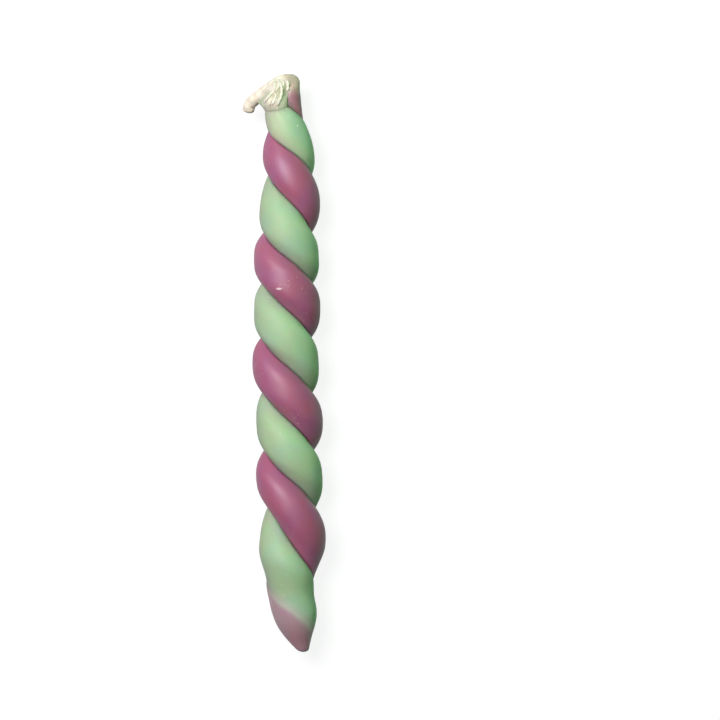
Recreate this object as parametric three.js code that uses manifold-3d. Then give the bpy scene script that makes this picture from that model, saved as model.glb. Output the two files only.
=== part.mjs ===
// A hand-twisted beeswax candle, lying on its side on a table.
//
// Two dipped tapers, one mint and one mauve, are wound round each other to the left while they are warm.
// Each is pressed flat where it meets the other, and their lower ends are squeezed into one pointed foot. A
// braided cotton wick runs through each taper from the foot to the top, where both leave the wax. The mauve
// taper's wick is bent over to one side. The mint taper's has come apart into its three plies, which droop
// in front. The wax has settled a little where the candle lies, which leaves a small flat under each crest.
//
// Millimetres. +Y runs up the candle from the foot to the wicks, and +Z is up from the table, which is also
// called forward here. The origin is on the table, under the middle of the candle's bounding box.

import * as THREE from "three";
import { mergeVertices } from "three/addons/utils/BufferGeometryUtils.js";
import Module from "manifold-3d";

const wasm = await Module();
wasm.setup();

// The two tapers. Heights are measured up the candle from the tip of its foot.
const TAPER_THICKNESS = 7.2; // across one taper, where it is full
const PRESSED_DEPTH = 1.6; // how far the inner side of a full taper is pressed flat
const TAPER_GAP = 0.3; // between the two pressed sides
const FULL_HEIGHT = 60; // up to here the tapers are full, and further up thinner and pressed flatter
const UPPER_HEIGHT = 92;
const UPPER_THICKNESS = 6.7;
const UPPER_PRESSED_DEPTH = 2.9;
const MINT_LENGTH = 94.6;
const MINT_END_LENGTH = 3.6; // its blunt end, rounded in to the wick
const MINT_END_FALL = 0.5; // how soon it falls in: 0.5 is a quarter of an oval, and more is slimmer
const MAUVE_LENGTH = 97.8;
const MAUVE_END_LENGTH = 14; // its end, a longer point
const MAUVE_END_FALL = 0.8;
const NECK_WALL = 0.25; // the wax left round a wick where it comes out

// The twist, as the length of each half turn. Hand-wound, it is tighter in some places than in others. A
// longer candle goes on with the last one.
const TWIST_START = -6; // the first half turn starts below the tip, with the mint taper in front
const HALF_TURNS = [8.9, 9.75, 12.5, 9.9, 10, 9.5, 9.4, 8.85, 9.95, 8.3, 10.3];

// The foot, where both tapers are squeezed into one round form
const TIP_THICKNESS = 1.6;
const FOOT_THICKNESS = 8;
const FOOT_LENGTH = 8.2; // from the tip to where the foot is full
const FUSED_START = 9; // from the tip to where the two tapers start to part
const FUSED_LENGTH = 18.4; // from the tip to where they are whole again

// The line of the candle seen from above: [height, how far it lies to the right]
const BENDS = [
  [0, 2.5],
  [3, 1.5],
  [7, 0.9],
  [11, 0.2],
  [15, 0.3],
  [22, 0.7],
  [31, 0],
  [40, 0.1],
  [50, -0.6],
  [60, -0.3],
  [70, -0.45],
  [79, 0.25],
  [86, -0.1],
  [91, -0.4],
  [95, -0.95],
  [99, -0.5],
];
const SETTLED_DEPTH = 0.35; // how deep the wax has settled flat on the table

// The wicks. Each stays wound until it is clear of the other taper. Their routes from there are given as [to
// the right, up the candle, forward]: the mauve one's from its bend on, and the mint one's to where its plies
// come apart.
const WICK_THICKNESS = 1.5;
const WAXED_WICK_THICKNESS = 2; // outside, where it is coated with wax
const WICK_CLEARANCE = 0.15; // between a wick and the wax round it
const WICK_START = 6; // the height of a wick's lower end
const WICK_LEAD = 3.2; // how much further up the mauve wick stays wound than the mint one
const WICK_SIDE = 29.3; // degrees forward from the right side, the way the mauve wick faces where it bends
const MAUVE_WICK_ROUTE = [
  [-1.9, -0.5, 0.1],
  [-3.9, -2.2, -0.2],
  [-6, -4.6, -0.6],
];
const MINT_WICK_ROUTE = [
  [0, 0.6, 0.1],
  [0, 1.6, 0.7],
  [0.1, 2.5, 1.7],
];
const PLY_THICKNESS = 0.9;
const PLY_SPACING = 0.45; // between the plies where they come apart
const PLY_RISE = 0.9; // how far they go on up before they droop
const PLY_DROOP = 4.1;
const PLY_REACH = 1.6; // how far they go on forward
const PLY_SPREAD = 1.35; // between their ends
const PLY_LEAN = -1.2; // how far to the right they droop

// How finely the forms are faceted
const TAPER_RINGS = 11; // in a half turn
const WICK_RINGS = 8; // in a half turn
const ARC_FACETS = 14;
const PRESSED_FACETS = 4;
const WICK_SIDES = 6;
const TUBE_SIDES = 8;
const TUBE_STEPS = 16;

// Sizes that follow from those
const { clamp, degToRad, lerp, smoothstep } = THREE.MathUtils;
const pressedSide = TAPER_GAP / 2;
const wickRadius = WICK_THICKNESS / 2;
const boreRadius = wickRadius + WICK_CLEARANCE;
const neckRadius = boreRadius + NECK_WALL;
const mintWound = Math.max(MINT_LENGTH, MAUVE_LENGTH - WICK_LEAD); // how far up its wick stays wound
const mauveWound = mintWound + WICK_LEAD;
const turnHeights = [TWIST_START];
while (turnHeights.at(-1) < mauveWound + HALF_TURNS.at(-1)) {
  const halfTurn = HALF_TURNS[turnHeights.length - 1] ?? HALF_TURNS.at(-1);
  turnHeights.push(turnHeights.at(-1) + halfTurn);
}
const turnCurve = new THREE.CubicInterpolant([...turnHeights.keys()], turnHeights, 1);
const bendHeights = BENDS.map(([height]) => height);
const bendOffsets = BENDS.map(([, right]) => right);
const bendCurve = new THREE.CubicInterpolant(bendHeights, bendOffsets, 1);
const mauveSide = degToRad(WICK_SIDE) - Math.PI * turnsAt(mauveWound); // before the first half turn
const mauve = {
  side: mauveSide,
  length: MAUVE_LENGTH,
  endLength: MAUVE_END_LENGTH,
  endFall: MAUVE_END_FALL,
  wound: mauveWound,
};
const mint = {
  side: mauveSide - Math.PI,
  length: MINT_LENGTH,
  endLength: MINT_END_LENGTH,
  endFall: MINT_END_FALL,
  wound: mintWound,
};

// How far up the candle it has made this many half turns.
function heightAt(turns) {
  return turnCurve.evaluate(turns)[0];
}

// How many half turns the candle has made at this height.
function turnsAt(height) {
  let low = 0;
  let high = turnHeights.length - 1;
  while (high - low > 1e-6) {
    const middle = (low + high) / 2;
    if (heightAt(middle) < height) low = middle;
    else high = middle;
  }
  return low;
}

// A point out from the candle's axis by outward, on the side of one taper, and round from there by sideways.
function twistedPoint(taper, turns, outward, sideways) {
  const height = heightAt(turns);
  const angle = taper.side + Math.PI * turns;
  return new THREE.Vector3(
    bendCurve.evaluate(height)[0] + outward * Math.cos(angle) - sideways * Math.sin(angle),
    height,
    outward * Math.sin(angle) + sideways * Math.cos(angle),
  );
}

// How much wider something this far off the axis is, for being cut at a slant straight across the candle.
function slantAt(turns, offset) {
  const halfTurn = heightAt(turns + 0.5) - heightAt(turns - 0.5);
  return Math.hypot(1, (Math.PI * offset) / halfTurn);
}

// The section of a taper, an oval that is centred off the candle's axis and cut off flat beside it. Down at
// the foot it becomes one half of a round form, and at the top a ring round the wick.
function sectionAt(taper, turns) {
  const height = heightAt(turns);
  const thinned = clamp((height - FULL_HEIGHT) / (UPPER_HEIGHT - FULL_HEIGHT), 0, 1) ** 2;
  const radius = lerp(TAPER_THICKNESS, UPPER_THICKNESS, thinned) / 2;
  const offset = radius - lerp(PRESSED_DEPTH, UPPER_PRESSED_DEPTH, thinned) + pressedSide;

  const footClimb = (Math.PI / 2) * clamp(height / FOOT_LENGTH, 0, 1);
  const footRadius = lerp(TIP_THICKNESS / 2, FOOT_THICKNESS / 2, Math.sin(footClimb));
  const parted = smoothstep(height, FUSED_START, FUSED_LENGTH);
  const whole = {
    centre: lerp(0, offset, parted),
    reach: lerp(footRadius, offset + radius, parted),
    halfWidth: lerp(footRadius, radius * slantAt(turns, offset), parted),
  };

  const endClimb = clamp((height - taper.length + taper.endLength) / taper.endLength, 0, 1);
  const left = (1 - endClimb ** 2) ** taper.endFall;
  const centre = lerp(pressedSide + neckRadius, whole.centre, left);
  const reach = lerp(pressedSide + 2 * neckRadius, whole.reach, left);
  const halfWidth = lerp(neckRadius, whole.halfWidth, left);
  const wickOffset = lerp((pressedSide + whole.reach) / 2, pressedSide + neckRadius, endClimb ** 2);
  return { centre, reach, halfThickness: reach - centre, halfWidth, wickOffset };
}

// The outline of a taper: an oval arc, closed by the flat that is pressed against the other taper.
function taperRing(taper, turns) {
  const { centre, halfThickness, halfWidth } = sectionAt(taper, turns);
  const end = Math.acos(Math.max((pressedSide - centre) / halfThickness, -0.97));
  const inner = centre + halfThickness * Math.cos(end);
  const ring = [];
  for (let i = 0; i <= ARC_FACETS; i++) {
    const angle = lerp(-end, end, i / ARC_FACETS);
    const outward = centre + halfThickness * Math.cos(angle);
    ring.push(twistedPoint(taper, turns, outward, halfWidth * Math.sin(angle)));
  }
  for (let i = 1; i < PRESSED_FACETS; i++) {
    const across = lerp(1, -1, i / PRESSED_FACETS);
    ring.push(twistedPoint(taper, turns, inner, across * halfWidth * Math.sin(end)));
  }
  return ring;
}

// The outline of a wick or its bore, in the middle of its taper.
function wickRing(taper, turns, radius) {
  const { wickOffset } = sectionAt(taper, turns);
  const slant = slantAt(turns, wickOffset);
  return Array.from({ length: WICK_SIDES }, (_, side) => {
    const angle = (2 * Math.PI * side) / WICK_SIDES;
    const outward = wickOffset + radius * Math.cos(angle);
    return twistedPoint(taper, turns, outward, radius * slant * Math.sin(angle));
  });
}

// Where the middle of a wick is at this height.
function wickPoint(taper, height) {
  const turns = turnsAt(height);
  return twistedPoint(taper, turns, sectionAt(taper, turns).wickOffset, 0);
}

// Rings from one height to another, at even steps of the twist.
function ringsBetween(fromHeight, toHeight, perHalfTurn, ringAt) {
  const from = turnsAt(fromHeight);
  const to = turnsAt(toHeight);
  const steps = Math.ceil((to - from) * perHalfTurn);
  return Array.from({ length: steps + 1 }, (_, i) => ringAt(lerp(from, to, i / steps)));
}

// Rings from one height to another that get closer and closer, for a rounded end.
function closingRings(fromHeight, toHeight, perHalfTurn, ringAt) {
  const from = turnsAt(fromHeight);
  const to = turnsAt(toHeight);
  const steps = Math.ceil((to - from) * perHalfTurn * (Math.PI / 2));
  const easing = (i) => Math.sin((Math.PI / 2) * (i / steps));
  return Array.from({ length: steps }, (_, i) => ringAt(lerp(from, to, easing(i + 1))));
}

// A closed solid through rings that all have as many points, with a fan over each end.
function loft(rings) {
  const sides = rings[0].length;
  const middleOf = (ring) => ring.reduce((sum, p) => sum.add(p), new THREE.Vector3()).divideScalar(sides);
  const points = [...rings.flat(), middleOf(rings[0]), middleOf(rings.at(-1))];
  const bottomMiddle = points.length - 2;
  const topMiddle = points.length - 1;
  const lastRing = (rings.length - 1) * sides;
  const faces = [];
  for (let i = 0; i < sides; i++) {
    const next = (i + 1) % sides;
    faces.push(bottomMiddle, i, next);
    faces.push(topMiddle, lastRing + next, lastRing + i);
    for (let ring = 0; ring < lastRing; ring += sides) {
      const [a, b, c, d] = [ring + i, ring + next, ring + sides + next, ring + sides + i];
      faces.push(a, d, b, b, d, c);
    }
  }
  return new THREE.BufferGeometry().setFromPoints(points).setIndex(faces);
}

// A tube along a curve, whose radius depends on the distance from its start.
function tube(points, radiusAt) {
  const curve = new THREE.CatmullRomCurve3(points);
  const frames = curve.computeFrenetFrames(TUBE_STEPS, false);
  const rings = frames.tangents.map((_, step) => {
    const middle = curve.getPointAt(step / TUBE_STEPS);
    const radius = radiusAt((curve.getLength() * step) / TUBE_STEPS);
    return Array.from({ length: TUBE_SIDES }, (_, side) => {
      const angle = (2 * Math.PI * side) / TUBE_SIDES;
      return middle
        .clone()
        .addScaledVector(frames.normals[step], radius * Math.cos(angle))
        .addScaledVector(frames.binormals[step], -radius * Math.sin(angle));
    });
  });
  return loft(rings);
}

// A geometry as a solid that can be joined and cut.
function solid(geometry) {
  const bare = new THREE.BufferGeometry();
  bare.setAttribute("position", geometry.getAttribute("position"));
  bare.setIndex(geometry.index);
  const merged = mergeVertices(bare, 1e-5);
  return new wasm.Manifold(
    new wasm.Mesh({
      numProp: 3,
      vertProperties: new Float32Array(merged.attributes.position.array),
      triVerts: new Uint32Array(merged.index.array),
    }),
  );
}

// A solid as a named mesh.
function meshOf(name, shape, material) {
  const made = shape.getMesh();
  const geometry = new THREE.BufferGeometry();
  geometry.setAttribute("position", new THREE.BufferAttribute(made.vertProperties, 3));
  geometry.setIndex(new THREE.BufferAttribute(made.triVerts, 1));
  geometry.computeVertexNormals();
  const mesh = new THREE.Mesh(geometry, material);
  mesh.name = name;
  return mesh;
}

// The table under the candle, whose top is this far below the candle's axis.
function tableBlock(drop) {
  const size = 2 * mauve.wound;
  return solid(new THREE.BoxGeometry(size, size, size).translate(0, size / 4, -drop - size / 2));
}

// One taper: twisted wax with a rounded end, a bore for its wick that is open at the top, and the flats where
// it lies on the table.
function waxTaper(taper, table) {
  const outline = (turns) => taperRing(taper, turns);
  const endStart = taper.length - taper.endLength;
  const body = [
    ...ringsBetween(0, endStart, TAPER_RINGS, outline),
    ...closingRings(endStart, taper.length, TAPER_RINGS, outline),
  ];
  const boreOutline = (turns) => wickRing(taper, turns, boreRadius);
  const bore = ringsBetween(WICK_START - WICK_CLEARANCE, taper.length, WICK_RINGS, boreOutline);
  bore.push(bore.at(-1).map((point) => point.clone().setY(taper.length + boreRadius)));
  return solid(loft(body)).subtract(solid(loft(bore))).subtract(table);
}

// The stretch of a wick that is wound with its taper.
function woundWick(taper) {
  const outline = (turns) => wickRing(taper, turns, wickRadius);
  return solid(loft(ringsBetween(WICK_START, taper.wound, WICK_RINGS, outline)));
}

// A free end of a wick, along points given from where it leaves the twist, thickening once it is outside.
function freeWick(taper, offsets, radius) {
  const leaves = wickPoint(taper, taper.wound);
  const inside = wickPoint(taper, taper.wound - WICK_CLEARANCE);
  const route = [inside, leaves, ...offsets.map((offset) => leaves.clone().add(offset))];
  const startRadius = Math.min(radius, wickRadius);
  return solid(tube(route, (distance) => lerp(startRadius, radius, smoothstep(distance, 0, 2 * radius))));
}

// The mauve taper's wick, whole and thick with wax. It bends over in a quarter circle that clears the wax.
function bentWick() {
  const radius = WAXED_WICK_THICKNESS / 2;
  const bend = radius + 2 * WICK_CLEARANCE;
  const halfWay = new THREE.Vector3(bend * (Math.SQRT1_2 - 1), bend * Math.SQRT1_2, 0);
  const bentOver = new THREE.Vector3(-bend, bend, 0);
  const run = MAUVE_WICK_ROUTE.map((offset) => new THREE.Vector3(...offset).add(bentOver));
  return woundWick(mauve).add(freeWick(mauve, [halfWay, bentOver, ...run], radius));
}

// The mint taper's wick, whose three plies come apart at the top and droop.
function splayedWick() {
  const route = MINT_WICK_ROUTE.map((offset) => new THREE.Vector3(...offset));
  const apart = wickPoint(mint, mint.wound).add(route.at(-1));
  const stem = woundWick(mint).add(freeWick(mint, route, wickRadius));
  return [-1, 0, 1].reduce((wick, side) => {
    const start = PLY_SPACING * side;
    const end = PLY_LEAN + PLY_SPREAD * side;
    const ply = [
      new THREE.Vector3(start, -PLY_THICKNESS, -PLY_THICKNESS),
      new THREE.Vector3(start, 0.3 * PLY_RISE, 0.2 * PLY_REACH),
      new THREE.Vector3(lerp(start, end, 0.15), PLY_RISE, 0.6 * PLY_REACH),
      new THREE.Vector3(lerp(start, end, 0.45), PLY_RISE - 0.3 * PLY_DROOP, PLY_REACH),
      new THREE.Vector3(end, PLY_RISE - PLY_DROOP, PLY_REACH),
    ];
    const points = ply.map((offset) => offset.add(apart));
    return wick.add(solid(tube(points, () => PLY_THICKNESS / 2)));
  }, stem);
}

// Materials
const mintWax = new THREE.MeshStandardMaterial({ color: 0xa6cba2, roughness: 0.45, metalness: 0 });
const mauveWax = new THREE.MeshStandardMaterial({ color: 0xb0698a, roughness: 0.42, metalness: 0 });
const cotton = new THREE.MeshStandardMaterial({ color: 0xe6d9c3, roughness: 0.7, metalness: 0 });

// The candle, set down on the table with the middle of its bounding box over the origin
const axisHeight = sectionAt(mint, turnsAt(FULL_HEIGHT)).reach - SETTLED_DEPTH;
const table = tableBlock(axisHeight);
const candle = new THREE.Group();
candle.add(
  meshOf("mint_taper", waxTaper(mint, table), mintWax),
  meshOf("mauve_taper", waxTaper(mauve, table), mauveWax),
  meshOf("mint_wick", splayedWick(), cotton),
  meshOf("mauve_wick", bentWick(), cotton),
);
const middle = new THREE.Box3().setFromObject(candle).getCenter(new THREE.Vector3());
candle.position.set(-middle.x, -middle.y, axisHeight);

export default candle;
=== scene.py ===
"""The finished surfaces of a twisted beeswax candle: dipped wax, waxed cotton wicks and a plain stage."""

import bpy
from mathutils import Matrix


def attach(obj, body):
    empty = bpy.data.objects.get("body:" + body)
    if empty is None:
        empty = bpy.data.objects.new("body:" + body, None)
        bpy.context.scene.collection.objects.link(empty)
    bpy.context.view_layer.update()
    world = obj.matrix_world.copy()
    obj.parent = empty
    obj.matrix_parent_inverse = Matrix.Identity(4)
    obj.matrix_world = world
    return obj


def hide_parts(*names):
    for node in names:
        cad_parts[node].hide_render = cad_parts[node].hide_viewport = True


bl_info = {
    "name": "Twisted Beeswax Candle",
    "version": (1, 0, 0),
    "blender": (4, 5, 0),
    "location": "3D View > Sidebar > Candle",
    "description": "Makes the wax, the wicks and the plain stage of a twisted beeswax candle",
    "category": "Add Mesh",
}

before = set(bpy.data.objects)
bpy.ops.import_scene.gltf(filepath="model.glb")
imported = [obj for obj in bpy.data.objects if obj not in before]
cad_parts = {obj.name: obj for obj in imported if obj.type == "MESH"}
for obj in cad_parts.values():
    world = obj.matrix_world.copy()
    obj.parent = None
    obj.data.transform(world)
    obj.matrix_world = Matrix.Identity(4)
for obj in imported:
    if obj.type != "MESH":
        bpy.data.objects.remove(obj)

from bisect import bisect_right
from functools import lru_cache
from math import acos, atan2, ceil, cos, hypot, pi, sin, sqrt

import bmesh
import bpy
from bpy.props import FloatProperty, FloatVectorProperty, PointerProperty
from mathutils import Vector, noise
from mathutils.bvhtree import BVHTree

MM = 0.001

# What the wax and the wicks are made of, and how finely
TAPER_SIDES = 64
TAPER_CORNER = 8  # the first point of a section on its outer side, counted from the middle of the flat one
RINGS_PER_HALF_TURN = 36
WICK_SIDES = 40
YARN_SIDES = 12
# Two of the marks are painted shade: one darkens the wax near the seams between the tapers, one darkens the
# wicks between their strands
WAX_MARKS = ["fused", "joined", "crossed", "groove_shade", "clear_share"]
ROD_MARKS = ["stained", "crease_shade", "dyed"]
FILM_SINK = 1.3  # how far the film's lower edge sinks into the wax, in thicknesses of the film

# Heights above the foot's tip between which the look of the wax changes
KNEADED_TIP = (1 * MM, 6 * MM)
MINT_TIP = (3.4 * MM, 5.2 * MM)
FOOT_TOP = (9.5 * MM, 13 * MM)
# the mint's top is painted paler on its left, lamp-facing side between these heights
MINT_LIT_SIDE_PALES = (82 * MM, 90 * MM)
# the painted shade in the grooves grows wider and darker between these heights
GROOVE_SHADE_DEEPENS = (90 * MM, 92 * MM)

# The foot's tip in a picture from straight above, and in the model
PIXEL = 0.1733  # across one pixel of the picture, in mm
TIP_PIXEL = (289, 652)
TIP_PLACE = (0.61, -50.043, 5.4)  # in mm

# pale flecks and scratch marks, partly scuff marks and partly painted glints
SCUFF_AND_GLINT_WHITE = 0xF2E4E2
CARD_GREY = 0x686868
CARD_LIGHT = 0.88  # how white the card looks of itself, from 0 to 1
CAMERA_SENSOR = 36  # in mm


def linear(colour):
    """An sRGB colour, written as a hex number, as the linear colour that nodes take."""
    shares = [(colour >> shift & 255) / 255 for shift in (16, 8, 0)]
    return [c / 12.92 if c <= 0.04045 else ((c + 0.055) / 1.055) ** 2.4 for c in shares]


def colour_of(name, description, colour):
    """A colour setting."""
    return FloatVectorProperty(
        name=name, description=description, default=linear(colour), min=0, max=1, subtype="COLOR"
    )


def size_of(name, description, millimetres):
    """A length setting."""
    return FloatProperty(
        name=name, description=description, default=millimetres * MM, unit="LENGTH", precision=5
    )


def sizes_of(name, description, millimetres):
    """A setting that is a list of lengths."""
    return FloatVectorProperty(
        name=name,
        description=description,
        size=len(millimetres),
        default=[value * MM for value in millimetres],
        unit="LENGTH",
        precision=5,
    )


class CandleForm(bpy.types.PropertyGroup):
    """The sizes of the two wound tapers, as the model has them"""

    place: sizes_of("Place", "Where the axis of the foot's tip starts", [0.615, -50.043, 5.4])
    taper: size_of("Taper thickness", "Across one taper where it is full", 7.2)
    pressed: size_of("Pressed depth", "How far a full taper's inner side is pressed flat", 1.6)
    full_height: size_of("Full height", "Up to here the tapers are full", 60)
    upper_height: size_of("Upper height", "From here on the tapers are at their thinnest", 92)
    upper_taper: size_of("Upper thickness", "Across one taper near the top", 6.7)
    upper_pressed: size_of("Upper pressed depth", "How far it is pressed flat near the top", 2.9)
    model_gap: size_of("Model gap", "The gap that the model leaves between the tapers", 0.3)
    mint_length: size_of("Mint length", "Length of the mint taper", 94.6)
    mint_end: size_of("Mint end", "Length of its blunt end", 3.6)
    mint_fall: FloatProperty(name="Mint fall", description="How blunt its end is, from 0", default=0.5)
    mauve_length: size_of("Mauve length", "Length of the mauve taper", 97.8)
    mauve_end: size_of("Mauve end", "Length of its pointed end", 14)
    mauve_fall: FloatProperty(name="Mauve fall", description="How blunt its end is, from 0", default=0.8)
    neck: size_of("Neck radius", "Of the wax where a wick comes out of it", 1.15)
    tip: size_of("Tip thickness", "Across the blunt tip of the foot", 1.6)
    foot: size_of("Foot thickness", "Across the foot where it is full", 8)
    foot_length: size_of("Foot length", "From the tip to where the foot is full", 8.2)
    fused_start: size_of("Fused start", "From the tip to where the tapers begin to part", 9)
    fused_length: size_of("Fused length", "From the tip to where the tapers are whole again", 18.4)
    twist_start: size_of("Twist start", "Where the first half turn starts, below the tip", -6)
    half_turns: sizes_of(
        "Half turns",
        "The length of each half turn of the twist",
        [8.9, 9.75, 12.5, 9.9, 10, 9.5, 9.4, 8.85, 9.95, 8.3, 10.3, 10.3],
    )
    bend_heights: sizes_of(
        "Bend heights",
        "Heights at which the line of the candle is given",
        [0, 3, 7, 11, 15, 22, 31, 40, 50, 60, 70, 79, 86, 91, 95, 99],
    )
    bend_offsets: sizes_of(
        "Bend offsets",
        "How far the candle lies to the right at those heights",
        [2.5, 1.5, 0.9, 0.2, 0.3, 0.7, 0, 0.1, -0.6, -0.3, -0.45, 0.25, -0.1, -0.4, -0.95, -0.5],
    )
    lip_seam: size_of("Seam", "Between the two pressed sides", 0.02)
    unevenness: size_of("Unevenness", "How far the dipped wax swells and sinks", 0.07)


class CandleWicks(bpy.types.PropertyGroup):
    """The sizes of the wicks"""

    waxed: size_of("Waxed wick", "Across the mauve taper's wick with its coat of wax", 2.15)
    strand: size_of("Strand", "Across each of the three strands of the braid", 1.05)
    plait: size_of("Plait", "The length in which a strand comes back to its place", 4.2)
    yarn: size_of("Yarn", "Across one yarn of the frayed wick", 0.42)
    film: size_of("Film", "Thickness of the wax between the yarns", 0.3)


class CandleColours(bpy.types.PropertyGroup):
    """The colours of the wax and the cotton"""

    mint: colour_of("Mint wax", "Mint wax in plain light", 0xA6BC9C)
    mint_warm: colour_of("Warm mint", "Clouds with less blue in them", 0xADBD97)
    mint_cool: colour_of("Cool mint", "Clouds with more blue in them", 0x9EBBA4)
    # painted shade: the darker, greener colour laid into the grooves between the tapers
    mint_groove_shade: colour_of("Deep mint", "Mint wax in the grooves", 0x6FA070)
    # the clear wax of the last dip, and also a painted lit side on the mint's top
    mint_clear_and_lit_side: colour_of("Clear mint", "The last dip at the mint taper's top", 0xD2CDB0)
    mauve: colour_of("Mauve wax", "Mauve wax in plain light", 0xAA6181)
    mauve_warm: colour_of("Warm mauve", "Clouds with more red in them", 0xAF6079)
    mauve_cool: colour_of("Cool mauve", "Clouds with more purple in them", 0xA3608B)
    # painted shade: the dark colour laid into the grooves between the tapers
    mauve_groove_shade: colour_of("Deep mauve", "Mauve wax in the grooves", 0x543642)
    kneaded: colour_of("Kneaded wax", "Where both waxes were pressed into one foot", 0xBEAEAE)
    cotton: colour_of("Waxed cotton", "The wicks under clear wax", 0xF0E4D4)
    # painted shade between the strands, and also the darker fibre streaks
    cotton_shade_and_streak: colour_of("Deep cotton", "Between the strands of the wicks", 0xCFBEAC)
    film: colour_of("Wax film", "Clear wax between the yarns", 0xC8BBA4)
    film_mint: colour_of("Minty film", "The same wax with a little mint dye in it", 0xABB79E)
    stain: colour_of("Stained cotton", "Where the wick's wax has taken up some dye", 0xBBAA99)


class CandleStage(bpy.types.PropertyGroup):
    """The floor, the lamps and the camera"""

    floor: size_of("Floor", "Across the floor", 3000)
    lamp: size_of("Lamp", "Across the large soft lamp", 210)
    lamp_far: size_of("Lamp distance", "From the candle to the large lamp", 450)
    lamp_power: FloatProperty(name="Lamp power", description="In watts", default=2.45)
    lamp_way: FloatVectorProperty(
        name="Lamp direction",
        description="From the candle to the large lamp",
        default=(-0.36, 0.34, 0.87),
    )
    fill_power: FloatProperty(
        name="Fill power", description="Of the lamp to the right, in watts", default=0.68
    )
    fill_colour: colour_of("Fill colour", "Of the lamp to the right, a pale green", 0x90FFA6)
    fill_way: FloatVectorProperty(
        name="Fill direction",
        description="From the candle to the lamp to the right",
        default=(0.7, 0.6, 0.45),
    )
    sky: FloatProperty(name="Room light", description="How bright the white room is", default=0.03)
    camera_far: size_of("Camera distance", "From the candle's axis to the camera", 450)
    view_width: size_of("View width", "What the camera sees across the candle's axis", 124.8)
    view_middle: sizes_of("View middle", "The point that the camera looks down at", [12.91, 0.56])


def smooth_curve(marks, values):
    """A smooth curve through a value at each mark, level beyond the last ones, like the model's own."""
    marks = list(marks)
    steps = [b - a for a, b in zip(marks, marks[1:])]
    climbs = [(b - a) / step for a, b, step in zip(values, values[1:], steps)]
    slopes = [(a + b) / 2 for a, b in zip([climbs[0], *climbs], [*climbs, climbs[-1]])]

    def value_at(mark):
        if mark <= marks[0]:
            return values[0]
        if mark >= marks[-1]:
            return values[-1]
        i = bisect_right(marks, mark) - 1
        p = (mark - marks[i]) / steps[i]
        start = values[i] * (1 + 2 * p) + slopes[i] * steps[i] * p
        end = values[i + 1] * (3 - 2 * p) - slopes[i + 1] * steps[i] * (1 - p)
        return start * (1 - p) ** 2 + end * p**2

    return value_at


def clamp(value, low=0.0, high=1.0):
    return min(max(value, low), high)


def lerp(start, end, share):
    return start + (end - start) * share


def smooth(value, low, high):
    """0 below low, 1 above high, and a smooth rise between them."""
    share = clamp((value - low) / (high - low))
    return share * share * (3 - 2 * share)


class Twist:
    """The line, the twist and the sections of the two tapers, worked out as the model does."""

    def __init__(self, form):
        self.form = form
        self.place = Vector(form.place)
        heights = [form.twist_start]
        for length in form.half_turns:
            heights.append(heights[-1] + length)
        self.half_turns = len(form.half_turns)
        self.height_at = lru_cache(None)(smooth_curve(range(len(heights)), heights))
        self.bend_at = lru_cache(None)(smooth_curve(form.bend_heights, list(form.bend_offsets)))
        self.section_of = lru_cache(None)(self.section)

    def turns_at(self, height):
        """How many half turns the candle has made at this height."""
        low, high = 0.0, float(self.half_turns)
        while high - low > 1e-7:
            middle = (low + high) / 2
            if self.height_at(middle) < height:
                low = middle
            else:
                high = middle
        return low

    def point(self, mauve, turns, outward, sideways):
        """A point this far out from the axis on one taper's side, and this far round from there."""
        height = self.height_at(turns)
        angle = pi * (turns + (1.5 if mauve else 0.5))
        return self.place + Vector(
            (
                self.bend_at(height) + outward * cos(angle) - sideways * sin(angle),
                height,
                outward * sin(angle) + sideways * cos(angle),
            )
        )

    def slant(self, turns, offset):
        """How much wider something this far off the axis is, for being cut straight across the candle."""
        half_turn = self.height_at(turns + 0.5) - self.height_at(turns - 0.5)
        return hypot(1, pi * offset / half_turn)

    def ends_at(self, mauve):
        """The length of a taper and of its end that closes in on the wick, and how blunt that end is."""
        form = self.form
        if mauve:
            return form.mauve_length, form.mauve_end, form.mauve_fall
        return form.mint_length, form.mint_end, form.mint_fall

    def whole_section(self, turns):
        """Centre, reach and half width of a taper that goes on, and how far the two have parted."""
        form = self.form
        height = self.height_at(turns)
        thinned = clamp((height - form.full_height) / (form.upper_height - form.full_height)) ** 2
        radius = lerp(form.taper, form.upper_taper, thinned) / 2
        pressed = lerp(form.pressed, form.upper_pressed, thinned)
        offset = radius - pressed + form.model_gap / 2
        climb = clamp(height / form.foot_length)
        foot = lerp(form.tip / 2, form.foot / 2, sin(pi / 2 * climb))
        foot *= (1 - (1 - clamp(height / (0.6 * MM))) ** 3) ** (1 / 2)
        parted = smooth(height, form.fused_start, form.fused_length)
        centre = lerp(0, offset, parted)
        reach = lerp(foot, offset + radius, parted)
        half_width = lerp(foot, radius * self.slant(turns, offset), parted)
        return centre, reach, half_width, parted

    def section(self, mauve, turns):
        """Centre, half thickness, half width, how far it has parted from the other taper, and its seam."""
        form = self.form
        height = self.height_at(turns)
        centre, reach, half_width, parted = self.whole_section(turns)
        length, end, fall = self.ends_at(mauve)
        left = (1 - clamp((height - length) / end + 1) ** 2) ** fall
        middle = form.model_gap / 2 + form.neck
        centre = lerp(middle, centre, left)
        reach = lerp(middle + form.neck, reach, left)
        half_width = lerp(form.neck, half_width, left)
        seam = form.lip_seam / 2 * smooth(height, form.fused_start, form.fused_length)
        return centre, reach - centre, half_width, parted, seam

    def wick_point(self, mauve, height):
        """The middle of a wick at this height, which moves in to the neck where its taper closes in."""
        form = self.form
        turns = self.turns_at(height)
        _, reach, *_ = self.whole_section(turns)
        length, end, _ = self.ends_at(mauve)
        closed = clamp((height - length) / end + 1) ** 2
        inner = form.model_gap / 2
        return self.point(mauve, turns, lerp((inner + reach) / 2, inner + form.neck, closed), 0)


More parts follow.
